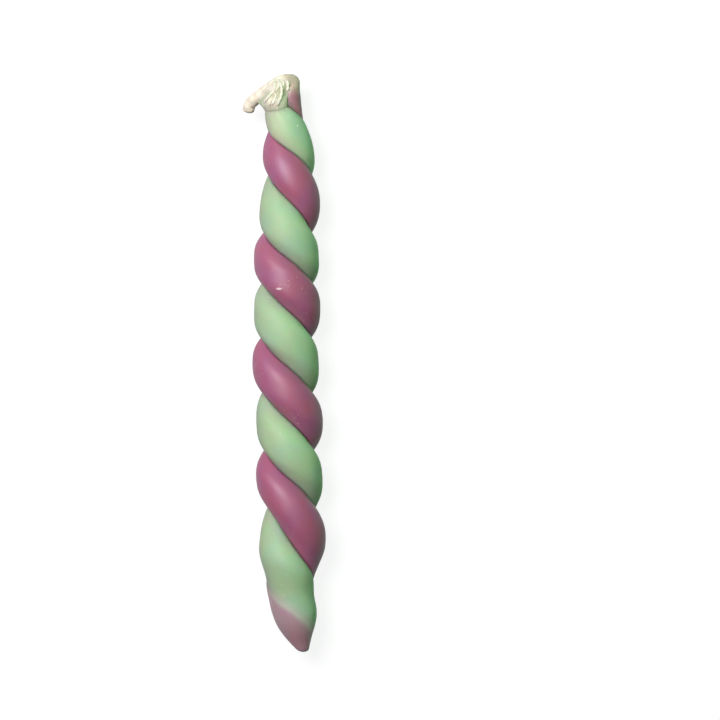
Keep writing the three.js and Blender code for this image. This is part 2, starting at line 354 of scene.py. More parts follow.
def from_picture(x, y, forward):
    """A point from its pixel in a picture of the candle, and how far forward of the axis it lies, in mm."""
    right = (x - TIP_PIXEL[0]) * PIXEL + TIP_PLACE[0]
    along = (TIP_PIXEL[1] - y) * PIXEL + TIP_PLACE[1]
    return Vector((right, along, forward + TIP_PLACE[2])) * MM


def straight_rod(bm, rings, sides):
    """A closed rod along Z from -1 to 1 with even rings, to be wound or bent into place."""
    bmesh.ops.create_cone(bm, cap_ends=True, segments=sides, radius1=1, radius2=1, depth=2)
    walls = [edge for edge in bm.edges if abs(edge.verts[0].co.z - edge.verts[1].co.z) > 1]
    bmesh.ops.subdivide_edges(bm, edges=walls, cuts=rings - 2, use_grid_fill=True)
    bmesh.ops.poke(bm, faces=[face for face in bm.faces if len(face.verts) > 4])


def finished_mesh(bm, name, material):
    """The object that a bmesh becomes, smooth-shaded and with its faces outwards."""
    bmesh.ops.recalc_face_normals(bm, faces=bm.faces)
    for face in bm.faces:
        face.smooth = True
    mesh = bpy.data.meshes.new(name)
    bm.to_mesh(mesh)
    bm.free()
    mesh.materials.append(material)
    made = bpy.data.objects.new(name, mesh)
    bpy.context.scene.collection.objects.link(made)
    return made


def carry(piece, node):
    """Lets a piece stand for its part of the model, on the candle's one body."""
    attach(piece, "root")
    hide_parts(node)


def add_node(tree, kind, inputs=None, **settings):
    """Adds a node with its settings, and fills its inputs with values or with other nodes' outputs."""
    added = tree.nodes.new(kind)
    for name, value in settings.items():
        setattr(added, name, value)
    for socket, value in (inputs or {}).items():
        if isinstance(value, bpy.types.NodeSocket):
            tree.links.new(value, added.inputs[socket])
        else:
            added.inputs[socket].default_value = value
    return added


def new_material(name):
    """An empty material and its tree."""
    material = bpy.data.materials.new(name)
    material.use_nodes = True
    material.node_tree.nodes.clear()
    return material, material.node_tree


def dipped_beeswax(name, own, warm, cool, deep, other, kneaded, clear, glow, sheen, scratch_and_glint, scratch_and_glint_size):
    """Beeswax, dyed and built up by dipping. Light goes a few millimetres into it, so its shaded side is
    deeper in colour and never hard. The dye took unevenly, in warmer and cooler clouds, and the skin has a
    broad satin gloss. The grooves between the tapers carry a painted shade, and the few pale flecks and the
    one whiter scratch are partly scuff marks and partly painted glints."""
    material, tree = new_material(name)
    where = add_node(tree, "ShaderNodeTexCoord").outputs["Object"]
    cloud = add_node(tree, "ShaderNodeTexNoise", {"Vector": where, "Scale": 1 / (4.5 * MM), "Detail": 2.0})
    swell = add_node(tree, "ShaderNodeTexNoise", {"Vector": where, "Scale": 1 / (1.8 * MM), "Detail": 2.0})
    grain = add_node(tree, "ShaderNodeTexNoise", {"Vector": where, "Scale": 1 / (0.35 * MM), "Detail": 3.0})
    patch = add_node(tree, "ShaderNodeTexNoise", {"Vector": where, "Scale": 1 / (6 * MM), "Detail": 1.0})
    fused, joined, crossed, groove_shade, clear_share = (
        add_node(tree, "ShaderNodeAttribute", attribute_name=mark).outputs["Fac"] for mark in WAX_MARKS
    )
    warm_share = add_node(
        tree,
        "ShaderNodeMapRange",
        {"Value": cloud.outputs["Fac"], "From Min": 0.5, "From Max": 0.36, "To Max": 0.5},
    )
    cool_share = add_node(
        tree,
        "ShaderNodeMapRange",
        {"Value": cloud.outputs["Fac"], "From Min": 0.5, "From Max": 0.64, "To Max": 0.5},
    )
    warmed = add_node(
        tree,
        "ShaderNodeMix",
        {0: warm_share.outputs["Result"], 6: own, 7: warm},
        data_type="RGBA",
    )
    dyed = add_node(
        tree,
        "ShaderNodeMix",
        {0: cool_share.outputs["Result"], 6: warmed.outputs[2], 7: cool},
        data_type="RGBA",
    )
    # painted shade: the colour darkens towards the seams between the tapers
    groove_shaded = add_node(
        tree,
        "ShaderNodeMix",
        {0: groove_shade, 6: dyed.outputs[2], 7: deep},
        data_type="RGBA",
    )
    crossing = add_node(
        tree,
        "ShaderNodeMix",
        {0: crossed, 6: groove_shaded.outputs[2], 7: other},
        data_type="RGBA",
    )
    mixed = add_node(
        tree,
        "ShaderNodeMix",
        {0: fused, 6: crossing.outputs[2], 7: kneaded},
        data_type="RGBA",
    )
    # towards the clear colour: clear wax at the tops, and on the mint also a painted lit side
    ended = add_node(
        tree,
        "ShaderNodeMix",
        {0: clear_share, 6: mixed.outputs[2], 7: clear},
        data_type="RGBA",
    )
    # pale flecks on the skin, partly scuff marks and partly painted glints
    scuff_and_glint_spots = add_node(
        tree,
        "ShaderNodeMapRange",
        {"Value": grain.outputs["Fac"], "From Min": 0.65, "From Max": 0.7},
    )
    scuff_and_glint_patches = add_node(
        tree,
        "ShaderNodeMapRange",
        {"Value": patch.outputs["Fac"], "From Min": 0.56, "From Max": 0.66, "To Max": 0.5},
    )
    scuffs_and_glints = add_node(
        tree,
        "ShaderNodeMath",
        {0: scuff_and_glint_spots.outputs["Result"], 1: scuff_and_glint_patches.outputs["Result"]},
        operation="MULTIPLY",
    )
    # one whiter scratch mark, partly a painted glint
    from_scratch_and_glint = add_node(
        tree,
        "ShaderNodeMapping",
        {"Vector": where, "Location": scratch_and_glint, "Scale": scratch_and_glint_size},
        vector_type="TEXTURE",
    )
    off_scratch_and_glint = add_node(
        tree, "ShaderNodeVectorMath", {0: from_scratch_and_glint.outputs["Vector"]}, operation="LENGTH"
    )
    scratch_and_glint_share = add_node(
        tree,
        "ShaderNodeMapRange",
        {"Value": off_scratch_and_glint.outputs["Value"], "From Min": 1.0, "From Max": 0.5, "To Max": 0.8},
    )
    whitened = add_node(
        tree,
        "ShaderNodeMath",
        {0: scuffs_and_glints.outputs[0], 1: scratch_and_glint_share.outputs["Result"]},
        operation="MAXIMUM",
    )
    colour = add_node(
        tree,
        "ShaderNodeMix",
        {0: whitened.outputs[0], 6: ended.outputs[2], 7: (*linear(SCUFF_AND_GLINT_WHITE), 1)},
        data_type="RGBA",
    )
    gloss = add_node(
        tree,
        "ShaderNodeMapRange",
        {"Value": swell.outputs["Fac"], "To Min": 0.46, "To Max": 0.6},
    )
    depth = add_node(tree, "ShaderNodeMapRange", {"Value": joined, "To Min": 0.95, "To Max": 0.1})
    broad = add_node(
        tree,
        "ShaderNodeBump",
        {"Height": swell.outputs["Fac"], "Strength": 0.25, "Distance": 0.12 * MM},
    )
    fine = add_node(
        tree,
        "ShaderNodeBump",
        {
            "Height": grain.outputs["Fac"],
            "Normal": broad.outputs["Normal"],
            "Strength": 0.15,
            "Distance": 0.03 * MM,
        },
    )
    wax = add_node(
        tree,
        "ShaderNodeBsdfPrincipled",
        {
            "Base Color": colour.outputs[2],
            "Roughness": gloss.outputs["Result"],
            "Normal": fine.outputs["Normal"],
            "IOR": 1.44,
            "Specular IOR Level": sheen,
            "Subsurface Weight": depth.outputs["Result"],
            "Subsurface Radius": glow,
            "Subsurface Scale": 1 * MM,
        },
    )
    add_node(tree, "ShaderNodeOutputMaterial", {"Surface": wax.outputs["BSDF"]})
    return material


def waxed_cotton(name, own, deep, stain, dye):
    """Bleached cotton, plaited and soaked in clear wax. The strands show as soft ridges with painted shade
    in the lines between them, and the wax lies over them in a thin, rather glossy coat."""
    material, tree = new_material(name)
    straight = add_node(tree, "ShaderNodeAttribute", attribute_name="straight").outputs["Vector"]
    stained, crease_shade, dyed = (
        add_node(tree, "ShaderNodeAttribute", attribute_name=mark).outputs["Fac"] for mark in ROD_MARKS
    )
    along = add_node(tree, "ShaderNodeMapping", {"Vector": straight, "Scale": (1, 1, 0.25)})
    fibres = add_node(
        tree,
        "ShaderNodeTexNoise",
        {"Vector": along.outputs["Vector"], "Scale": 1 / (0.25 * MM), "Detail": 4.0},
    )
    blotch = add_node(
        tree, "ShaderNodeTexNoise", {"Vector": straight, "Scale": 1 / (1.5 * MM), "Detail": 2.0}
    )
    # painted shade in the lines between the strands
    sunk = add_node(
        tree,
        "ShaderNodeMix",
        {0: crease_shade, 6: own, 7: deep},
        data_type="RGBA",
    )
    streak_share = add_node(
        tree,
        "ShaderNodeMapRange",
        {"Value": fibres.outputs["Fac"], "From Min": 0.5, "From Max": 0.8, "To Max": 0.4},
    )
    streaked = add_node(
        tree,
        "ShaderNodeMix",
        {0: streak_share.outputs["Result"], 6: sunk.outputs[2], 7: deep},
        data_type="RGBA",
    )
    aged = add_node(
        tree,
        "ShaderNodeMix",
        {0: stained, 6: streaked.outputs[2], 7: stain},
        data_type="RGBA",
    )
    colour = add_node(
        tree,
        "ShaderNodeMix",
        {0: dyed, 6: aged.outputs[2], 7: dye},
        data_type="RGBA",
    )
    gloss = add_node(
        tree,
        "ShaderNodeMapRange",
        {"Value": blotch.outputs["Fac"], "To Min": 0.35, "To Max": 0.6},
    )
    raised = add_node(
        tree,
        "ShaderNodeBump",
        {"Height": fibres.outputs["Fac"], "Strength": 0.8, "Distance": 0.08 * MM},
    )
    cotton = add_node(
        tree,
        "ShaderNodeBsdfPrincipled",
        {
            "Base Color": colour.outputs[2],
            "Roughness": gloss.outputs["Result"],
            "Normal": raised.outputs["Normal"],
            "IOR": 1.44,
            "Subsurface Weight": 0.3,
            "Subsurface Radius": (1.0, 0.85, 0.65),
            "Subsurface Scale": 0.5 * MM,
        },
    )
    add_node(tree, "ShaderNodeOutputMaterial", {"Surface": cotton.outputs["BSDF"]})
    return material


def pulled_wax_film(name, own, mint, cotton):
    """Clear beeswax that ran between the yarns and set as a film. It is cloudy, and takes up a little of
    the mint wax under it and of the cotton in it."""
    material, tree = new_material(name)
    where = add_node(tree, "ShaderNodeTexCoord").outputs["Object"]
    cloud = add_node(tree, "ShaderNodeTexNoise", {"Vector": where, "Scale": 1 / (1.6 * MM), "Detail": 3.0})
    wrinkle = add_node(
        tree, "ShaderNodeTexNoise", {"Vector": where, "Scale": 1 / (0.6 * MM), "Detail": 3.0}
    )
    minty = add_node(tree, "ShaderNodeAttribute", attribute_name="minty").outputs["Fac"]
    fibrous = add_node(tree, "ShaderNodeAttribute", attribute_name="fibrous").outputs["Fac"]
    cloudy = add_node(
        tree,
        "ShaderNodeMapRange",
        {"Value": cloud.outputs["Fac"], "From Min": 0.35, "From Max": 0.65, "To Min": 0.6, "To Max": 1.3},
    )
    share = add_node(
        tree,
        "ShaderNodeMath",
        {0: minty, 1: cloudy.outputs["Result"]},
        operation="MULTIPLY",
        use_clamp=True,
    )
    green = add_node(
        tree,
        "ShaderNodeMix",
        {0: share.outputs[0], 6: own, 7: mint},
        data_type="RGBA",
    )
    colour = add_node(
        tree,
        "ShaderNodeMix",
        {0: fibrous, 6: green.outputs[2], 7: cotton},
        data_type="RGBA",
    )
    raised = add_node(
        tree,
        "ShaderNodeBump",
        {"Height": wrinkle.outputs["Fac"], "Strength": 0.4, "Distance": 0.08 * MM},
    )
    film = add_node(
        tree,
        "ShaderNodeBsdfPrincipled",
        {
            "Base Color": colour.outputs[2],
            "Normal": raised.outputs["Normal"],
            "Roughness": 0.35,
            "IOR": 1.44,
            "Subsurface Weight": 0.5,
            "Subsurface Radius": (1.0, 1.0, 0.8),
            "Subsurface Scale": 0.8 * MM,
        },
    )
    add_node(tree, "ShaderNodeOutputMaterial", {"Surface": film.outputs["BSDF"]})
    return material


def matt_card(name):
    """Uncoated white card, pressed flat. It has no gloss, and shows white with the candle's soft shadow."""
    material, tree = new_material(name)
    seen = add_node(tree, "ShaderNodeLightPath")
    shown = add_node(
        tree,
        "ShaderNodeMath",
        {0: seen.outputs["Is Camera Ray"], 1: seen.outputs["Is Glossy Ray"]},
        operation="MAXIMUM",
    )
    card = add_node(tree, "ShaderNodeBsdfDiffuse", {"Color": (*linear(CARD_GREY), 1)})
    strength = add_node(
        tree, "ShaderNodeMath", {0: shown.outputs[0], 1: CARD_LIGHT}, operation="MULTIPLY"
    )
    white = add_node(tree, "ShaderNodeEmission", {"Strength": strength.outputs[0]})
    both = add_node(tree, "ShaderNodeAddShader", {0: card.outputs[0], 1: white.outputs[0]})
    add_node(tree, "ShaderNodeOutputMaterial", {"Surface": both.outputs[0]})
    return material


def paint(colour):
    """A colour setting as a node takes it."""
    return (*colour, 1)


def undyed_at(twist, point):
    """How far the mauve dye has given way to clear wax near the mauve taper's top, in wax and wick."""
    end = twist.form.mauve_length
    height = point.y - twist.place.y + 0.8 * MM * noise.noise(point / (1.3 * MM))
    paled = 0.25 * smooth(height, end - 7 * MM, end - 3 * MM)
    return paled + 0.75 * smooth(height, end - 2 * MM, end + 0.4 * MM)


def wound_taper(twist, mauve, name, material):
    """A taper: a straight rod whose rings become the sections of the twist, with a flat inner side."""
    form = twist.form
    length, end, _ = twist.ends_at(mauve)
    foot, tip, shoulder, top = (twist.turns_at(h) for h in (0, 1.2 * MM, length - end, length))
    count = ceil((shoulder - tip) * RINGS_PER_HALF_TURN)
    closing = ceil((top - shoulder) * RINGS_PER_HALF_TURN * 1.6)
    stations = [lerp(foot, tip, (i / 8) ** 2) for i in range(8)]
    stations += [lerp(tip, shoulder, i / count) for i in range(count)]
    stations += [lerp(shoulder, top, sin(pi / 2 * i / closing)) for i in range(closing + 1)]

    bm = bmesh.new()
    straight_rod(bm, len(stations), TAPER_SIDES)
    fused, joined, crossed, groove_shade, clear_share = (bm.verts.layers.float.new(mark) for mark in WAX_MARKS)
    lips = []
    corners = set()
    corner = TAPER_CORNER / TAPER_SIDES * 2
    for vert in bm.verts:
        turns = stations[round((vert.co.z + 1) / 2 * (len(stations) - 1))]
        height = twist.height_at(turns)
        centre, half_thickness, half_width, parted, seam = twist.section_of(mauve, turns)
        last = acos(clamp((seam - centre) / max(half_thickness, 1e-9), -0.97, 1))
        pole = hypot(vert.co.x, vert.co.y) < 0.5
        round_ = atan2(vert.co.y, vert.co.x) / pi
        outer = abs(round_) <= 1 - corner + 1e-6
        if pole:
            outward, sideways, away = centre, 0.0, 0.0
        elif outer:
            angle = last * sin(pi / 2 * round_ / (1 - corner))
            outward, sideways = centre + half_thickness * cos(angle), half_width * sin(angle)
            away = (1 - abs(angle) / last) * last * (half_thickness + half_width) / 2
        else:
            across = (1 - abs(round_)) / corner
            outward = centre + half_thickness * cos(last)
            sideways = (1 if round_ > 0 else -1) * half_width * sin(last) * across
            away = 0.0
        point = twist.point(mauve, turns, outward, sideways)
        from_middle = point - twist.point(mauve, turns, max(centre, seam + 0.5 * MM), 0)
        if outer and not pole and height > 1 * MM:
            swell = noise.noise(point / (7 * MM) + Vector((3.1 if mauve else 9.4, 0, 0)))
            swell += 0.4 * noise.noise(point / (2.6 * MM) + Vector((0, 5.7 if mauve else 2.2, 0)))
            point += from_middle.normalized() * form.unevenness * swell * smooth(away, 0, 1.5 * MM)
        point.z = max(point.z, 0)
        vert.co = point
        in_foot = 1 - smooth(height, *FOOT_TOP)
        strayed = away + 0.5 * MM * noise.noise(point / (2.5 * MM))
        upward = smooth(point.z, twist.place.z - 1 * MM, twist.place.z + 1 * MM)
        above_tip = smooth(height + 0.4 * away, *MINT_TIP)
        near_end = smooth(height, *GROOVE_SHADE_DEEPENS)
        vert[joined] = in_foot * (1 - smooth(away, 0, 2.6 * MM))
        # painted shade near the seams between the tapers, wider and darker near the top, none in the foot
        crease_shade = 1 - smooth(away, 0, lerp(0.7, 1.2, near_end) * MM)
        vert[groove_shade] = lerp(0.7, 1, near_end) * crease_shade * (1 - in_foot)
        kneading = in_foot * lerp(0.4, 0.6, smooth(height, *KNEADED_TIP))
        if mauve:
            near_seam = 1 - smooth(strayed, 0.3 * MM, 1.8 * MM)
            vert[crossed] = above_tip * upward * in_foot * near_seam
            vert[fused] = kneading
            vert[clear_share] = undyed_at(twist, point)
        else:
            # painted light: the mint's top is paler on its left side, which faces the lamp; the very top is
            # clear wax of the last dip
            paled = 0.4 * smooth(height, *MINT_LIT_SIDE_PALES) * (1 - smooth(point.x, -2 * MM, 2 * MM))
            vert[crossed] = 1 - above_tip
            vert[fused] = 0.7 * kneading * (1 - smooth(away, 0, 2.5 * MM))
            vert[clear_share] = max(paled, 0.6 * smooth(height, length - 1.6 * MM, length))
        if parted > 0.3 and away < 0.35 * MM and height < length - 0.5 * MM:
            lips.append(vert)
        if parted < 0.3 and away == 0 and abs(abs(round_) - (1 - corner)) < 1e-4:
            corners.add(vert)
    for edge in bm.edges:
        edge.smooth = not corners.issuperset(edge.verts)
    for _ in range(2):
        bmesh.ops.smooth_vert(
            bm, verts=lips, factor=0.5, use_axis_x=True, use_axis_y=True, use_axis_z=True
        )
    return finished_mesh(bm, name, material)


class Route:
    """A smooth path through points, with its length and an even frame all along it."""

    def __init__(self, points, steps=240):
        marks = [0.0]
        for a, b in zip(points, points[1:]):
            marks.append(marks[-1] + (b - a).length)
        along = [smooth_curve(marks, [point[axis] for point in points]) for axis in range(3)]
        self.points = [
            Vector([curve(marks[-1] * i / steps) for curve in along]) for i in range(steps + 1)
        ]
        self.marks = [0.0]
        for a, b in zip(self.points, self.points[1:]):
            self.marks.append(self.marks[-1] + (b - a).length)
        self.length = self.marks[-1]
        runs = [(b - a).normalized() for a, b in zip(self.points, self.points[1:])]
        runs.append(runs[-1])
        side = runs[0].cross(Vector((0, 0, 1))).normalized()
        self.frames = []
        for before, run in zip([runs[0], *runs], runs):
            side = before.rotation_difference(run) @ side
            side = (side - run * side.dot(run)).normalized()
            self.frames.append((side, run.cross(side)))

    def at(self, distance):
        """The point at a distance from the start, and two directions across the path there."""
        i = min(bisect_right(self.marks, distance), len(self.marks) - 1)
        share = clamp((distance - self.marks[i - 1]) / (self.marks[i] - self.marks[i - 1]))
        point = self.points[i - 1].lerp(self.points[i], share)
        side, rise = (a.lerp(b, share) for a, b in zip(self.frames[i - 1], self.frames[i]))
        return point, side, rise


def rounded_end(distance, length, radius):
    """How much of its radius a rod keeps this near to a rounded end."""
    return sqrt(1 - (1 - clamp((length - distance) / radius)) ** 2)


def bend_rod(bm, route, rings, sides, radius_at, marks_at=None):
    """Adds a rod along a route. Its radius depends on the distance and the angle round it."""
    rod = bmesh.new()
    straight_rod(rod, rings, sides)
    lay = rod.verts.layers.float_vector.new("straight")
    marks = [rod.verts.layers.float.new(name) for name in ROD_MARKS]
    for vert in rod.verts:
        distance = (vert.co.z + 1) / 2 * route.length
        pole = hypot(vert.co.x, vert.co.y) < 0.5
        angle = atan2(vert.co.y, vert.co.x)
        radius = radius_at(distance, angle)
        point, side, rise = route.at(distance)
        vert[lay] = Vector((radius * cos(angle), radius * sin(angle), distance))
        vert.co = point if pole else point + side * radius * cos(angle) + rise * radius * sin(angle)
        if marks_at:
            for mark, value in zip(marks, marks_at(vert.co, distance, angle)):
                vert[mark] = value
    mesh = bpy.data.meshes.new("rod")
    rod.to_mesh(mesh)
    rod.free()
    bm.from_mesh(mesh)
    bpy.data.meshes.remove(mesh)


def plait_radius(distance, angle, wicks, coat):
    """How far a plait of three strands reaches at this angle, smoothed by its coat of wax."""
    strand = wicks.strand / 2
    swing = 2 * pi * distance / wicks.plait
    reach = 0.0
    for i in range(3):
        phase = swing + 2 * pi * i / 3
        centre = Vector((0.46 * MM * sin(phase), 0.26 * MM * sin(2 * phase)))
        towards = centre.x * cos(angle) + centre.y * sin(angle)
        under = strand**2 - (centre.length_squared - towards**2)
        if under > 0:
            reach = max(reach, towards + sqrt(under))
    return lerp(reach, wicks.waxed / 2, coat), reach


class CANDLE_OT_wind_tapers(bpy.types.Operator):
    """Winds the mint and the mauve taper round each other"""

    bl_idname = "candle.wind_tapers"
    bl_label = "Wind tapers"

    def execute(self, context):
        scene = context.scene
        colours = scene.candle_colours
        twist = Twist(scene.candle_form)
        mint = [colours.mint, colours.mint_warm, colours.mint_cool, colours.mint_groove_shade]
        mint += [colours.mauve, colours.kneaded, colours.mint_clear_and_lit_side]
        mauve = [colours.mauve, colours.mauve_warm, colours.mauve_cool, colours.mauve_groove_shade]
        mauve += [colours.mint, colours.kneaded, colours.stain]
        # where the one whiter scratch mark on each taper lies, partly a painted glint
        mint_scratch_and_glint = from_picture(298, 127.5, 4), Vector((0.12, 0.24, 4)) * MM
        mauve_scratch_and_glint = from_picture(279.8, 289.6, 5), Vector((0.65, 0.24, 4)) * MM
        mint_wax = dipped_beeswax(
            "dipped_mint_beeswax", *map(paint, mint), (2.2, 5.0, 2.6), 0.35, *mint_scratch_and_glint
        )
        mauve_wax = dipped_beeswax(
            "dipped_mauve_beeswax", *map(paint, mauve), (0.7, 0.3, 0.4), 0.85, *mauve_scratch_and_glint
        )
        carry(wound_taper(twist, False, "mint_wax", mint_wax), "mint_taper")
        carry(wound_taper(twist, True, "mauve_wax", mauve_wax), "mauve_taper")
        return {"FINISHED"}


class CANDLE_OT_bend_mauve_wick(bpy.types.Operator):
    """Bends the mauve taper's waxed wick over to the left"""

    bl_idname = "candle.bend_mauve_wick"
    bl_label = "Bend mauve wick"

    def execute(self, context):
        scene = context.scene
        wicks, colours = scene.candle_wicks, scene.candle_colours
        twist = Twist(scene.candle_form)
        inside = [twist.wick_point(True, height * MM) for height in (88, 91, 94)]
        free = [
            (293.8, 92, 0.4),
            (293.4, 86, 0.5),
            (291.9, 82.2, 0.6),
            (287.5, 80.7, 0.7),
            (282.5, 81.4, 0.7),
            (275, 85.2, 0.6),
            (263.6, 93.2, 0.3),
            (254.8, 99.6, 0),
            (249.9, 104.2, -0.3),
            (247.8, 112.8, -0.6),
        ]
        route = Route([*inside, *(from_picture(*place) for place in free)])
        corner = from_picture(292.5, 82.5, 0.6)
        cream_from = from_picture(287, 81, 0.7).x

        def radius_at(distance, angle):
            coat = lerp(0.96, 0.75, smooth(distance, 0.8 * route.length, route.length))
            radius, _ = plait_radius(distance, angle, wicks, coat)
            radius *= lerp(0.75, 1, smooth(distance, 0, 4 * MM))
            from_corner = (route.at(distance)[0] - corner).length
            folded = max(0, cos(angle)) ** 4 * (1 - smooth(from_corner, 0, 1.1 * MM))
            radius += 0.25 * MM * folded
            return radius * rounded_end(distance, route.length, 0.6 * MM)

        def marks_at(point, distance, angle):
            _, reach = plait_radius(distance, angle, wicks, 0)
            # painted shade where the strands dip between each other
            crease_shade = 1 - smooth(reach, 0.55 * MM, 0.95 * MM)
            wobble = 0.6 * MM * noise.noise(point / (0.9 * MM))
            stained = smooth(point.x + wobble, cream_from - 1.2 * MM, cream_from + 0.6 * MM)
            return stained, 0.5 * crease_shade, 1 - undyed_at(twist, point) if stained else 0.0

        bm = bmesh.new()
        bend_rod(bm, route, 200, WICK_SIDES, radius_at, marks_at)
        cotton = waxed_cotton(
            "waxed_cotton_braid",
            paint(colours.cotton),
            paint(colours.cotton_shade_and_streak),
            paint(colours.stain),
            paint(colours.mauve),
        )
        carry(finished_mesh(bm, "mauve_waxed_wick", cotton), "mauve_wick")
        return {"FINISHED"}


class FilmShape:
    """The film's surface, through rows of points from the bent wick down to the end of the mint taper."""

    # Each place is a pixel of the picture and how far forward of the axis it lies, in mm
    ROWS = [
        [(256.5, 99.5, 0.8), (262.5, 92.5, 1.3), (269.5, 86, 1.6), (278, 80.5, 1.7), (288.5, 78.5, 1.5)],
        [(258, 103, 1.3), (264.5, 97, 2.2), (271.5, 91.5, 2.5), (279.5, 87, 2.5), (289, 84.5, 1.7)],
        [(260, 105.5, 2.1), (265.5, 101, 3.0), (272, 97.5, 3.3), (279.5, 95, 3.2), (289, 94, 1.7)],
        [(262.5, 108, 2.6), (267, 106.5, 3.2), (273, 105, 3.6), (280, 103.5, 3.4), (288, 101, 2.2)],
        [(265.5, 112.5, 2.2), (270, 115, 2.9), (275.5, 115.5, 3.2), (281.5, 114, 3.1), (288, 109, 2.5)],
    ]

    def __init__(self):
        self.rows = [[from_picture(*place) for place in row] for row in self.ROWS]
        shares = [i / 40 for i in range(41)]
        self.places = [self.at(across, down) for across in shares for down in shares]

    def under(self, x, y):
        """The place on the film that this pixel of the picture shows."""
        seen = from_picture(x, y, 0)
        return min(self.places, key=lambda place: (place.xy - seen.xy).length)

    def at(self, across, down):
        """The point at these shares of its width and its height."""
        columns = []
        for row in self.rows:
            columns.append(self.between(row, across))
        return self.between(columns, down)

    def between(self, points, share):
        """The point at this share of a smooth line through evenly counted points."""
        marks = [i / (len(points) - 1) for i in range(len(points))]
        return Vector([smooth_curve(marks, [point[axis] for point in points])(share) for axis in range(3)])


class CANDLE_OT_fray_mint_wick(bpy.types.Operator):
    """Frays the mint taper's wick into yarns that droop in front of its end"""

    bl_idname = "candle.fray_mint_wick"
    bl_label = "Fray mint wick"

    # Each yarn: its share of the usual thickness, and the pixels of the picture that it runs over
    YARNS = [
        (1.1, (274, 80.5), (275.2, 86.5), (274.6, 91.5), (270.8, 97), (267, 101.5), (264.5, 104)),
        (1.2, (279, 82.5), (281.6, 87.5), (282.6, 92.5), (281.5, 98.5), (279, 104), (277.8, 108)),
        (1.0, (275, 94), (276.4, 98.5), (275, 103), (271.8, 107)),
        (1.3, (287, 80), (287.6, 84), (288.3, 88), (287.2, 92)),
        (0.8, (270.5, 96.5), (267.8, 100.5), (265, 104.8)),
        (0.8, (276.2, 98), (277.8, 101), (278.4, 104.5)),
        (0.8, (271.6, 97.5), (271.5, 102), (269.4, 107.5)),
        (1.0, (276.5, 80.5), (279.2, 84.5), (278.8, 88.5), (276.4, 93)),
        (0.9, (283, 80.5), (284.2, 84), (283.2, 88.5)),
        (0.9, (279.4, 100), (278.6, 104.5), (278, 108.5)),
    ]

    def execute(self, context):
        scene = context.scene
        wicks, colours = scene.candle_wicks, scene.candle_colours
        twist = Twist(scene.candle_form)
        film = FilmShape()
        bm = bmesh.new()
        bm.verts.layers.float_vector.new("straight")
        for name in ROD_MARKS:
            bm.verts.layers.float.new(name)
        inside = [twist.wick_point(False, height * MM) for height in (91, 93)]
        free = [from_picture(278, 104, 0.4), from_picture(279, 96, 0.9), film.under(278, 88)]
        stem = Route([*inside, *free])

        def stem_radius(distance, angle):
            radius, _ = plait_radius(distance, angle, wicks, 0.3)
            return 0.75 * radius * rounded_end(distance, stem.length, 0.6 * MM)

        bend_rod(bm, stem, 60, 24, stem_radius)
        for thickness, *places in self.YARNS:
            self.lay_yarn(bm, film, places, wicks.yarn * thickness)
        cotton = waxed_cotton(
            "waxed_cotton_yarn",
            paint(colours.cotton),
            paint(colours.cotton_shade_and_streak),
            paint(colours.stain),
            paint(colours.mint),
        )
        carry(finished_mesh(bm, "mint_frayed_wick", cotton), "mint_wick")
        return {"FINISHED"}

    def lay_yarn(self, bm, film, places, thickness):
        """Lays one yarn over the film, half sunk in it and thinner at its ends."""
        route = Route([film.under(*place) + Vector((0, 0, 0.03 * MM)) for place in places], 80)

        def radius_at(distance, angle):
            twist = 1 + 0.16 * cos(2 * angle + 2 * pi * distance / (0.9 * MM))
            start = rounded_end(route.length - distance, route.length, 1.2 * MM)
            end = rounded_end(distance, route.length, 0.8 * MM)
            return thickness / 2 * twist * start * end

        bend_rod(bm, route, ceil(route.length / (0.09 * MM)), YARN_SIDES, radius_at)


class CANDLE_OT_pull_wax_film(bpy.types.Operator):
    """Pulls a film of clear wax between the yarns of the frayed wick"""

    bl_idname = "candle.pull_wax_film"
    bl_label = "Pull wax film"

    def execute(self, context):
        scene = context.scene
        wicks, colours = scene.candle_wicks, scene.candle_colours
        shape = FilmShape()
        wax = BVHTree.FromObject(bpy.data.objects["mint_wax"], context.evaluated_depsgraph_get())
        bm = bmesh.new()
        bmesh.ops.create_grid(bm, x_segments=40, y_segments=40, size=1)
        minty = bm.verts.layers.float.new("minty")
        fibrous = bm.verts.layers.float.new("fibrous")
        for vert in bm.verts:
            across, down = (vert.co.x + 1) / 2, (1 - vert.co.y) / 2
            ragged = 0.06 * noise.noise(Vector((across * 7, 1.7, 0))) * down
            point = shape.at(across, clamp(down + ragged, 0, 1))
            point.z += 0.12 * MM * noise.noise(point / (1.2 * MM))
            last = shape.at(across, 1)
            on_wax = wax.ray_cast(Vector((last.x, last.y, 1)), Vector((0, 0, -1)))[0]
            if on_wax:
                point.z += (on_wax.z - last.z) * smooth(down, 0.45, 1)
            point.z -= FILM_SINK * wicks.film * smooth(down, 0.75, 1)
            blur = 0.3 * noise.noise(point / (1.5 * MM))
            left = (1 - smooth(across + blur, 0.15, 0.6)) * smooth(down, 0.05, 0.3)
            foot = smooth(down + 0.3 * blur, 0.86, 1)
            vert[minty] = max(left, foot)
            top_share = 0.9 * (1 - smooth(down + blur, 0.1, 0.35))
            vert[fibrous] = max(top_share, 0.5 * smooth(down + blur, 0.4, 0.7) * (1 - foot))
            vert.co = point
        bmesh.ops.recalc_face_normals(bm, faces=bm.faces)
        bmesh.ops.solidify(bm, geom=bm.faces[:], thickness=wicks.film)
        clear = pulled_wax_film(
            "pulled_clear_beeswax", paint(colours.film), paint(colours.film_mint), paint(colours.cotton)
        )
        made = finished_mesh(bm, "clear_wax_film", clear)
        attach(made, "root")
        return {"FINISHED"}


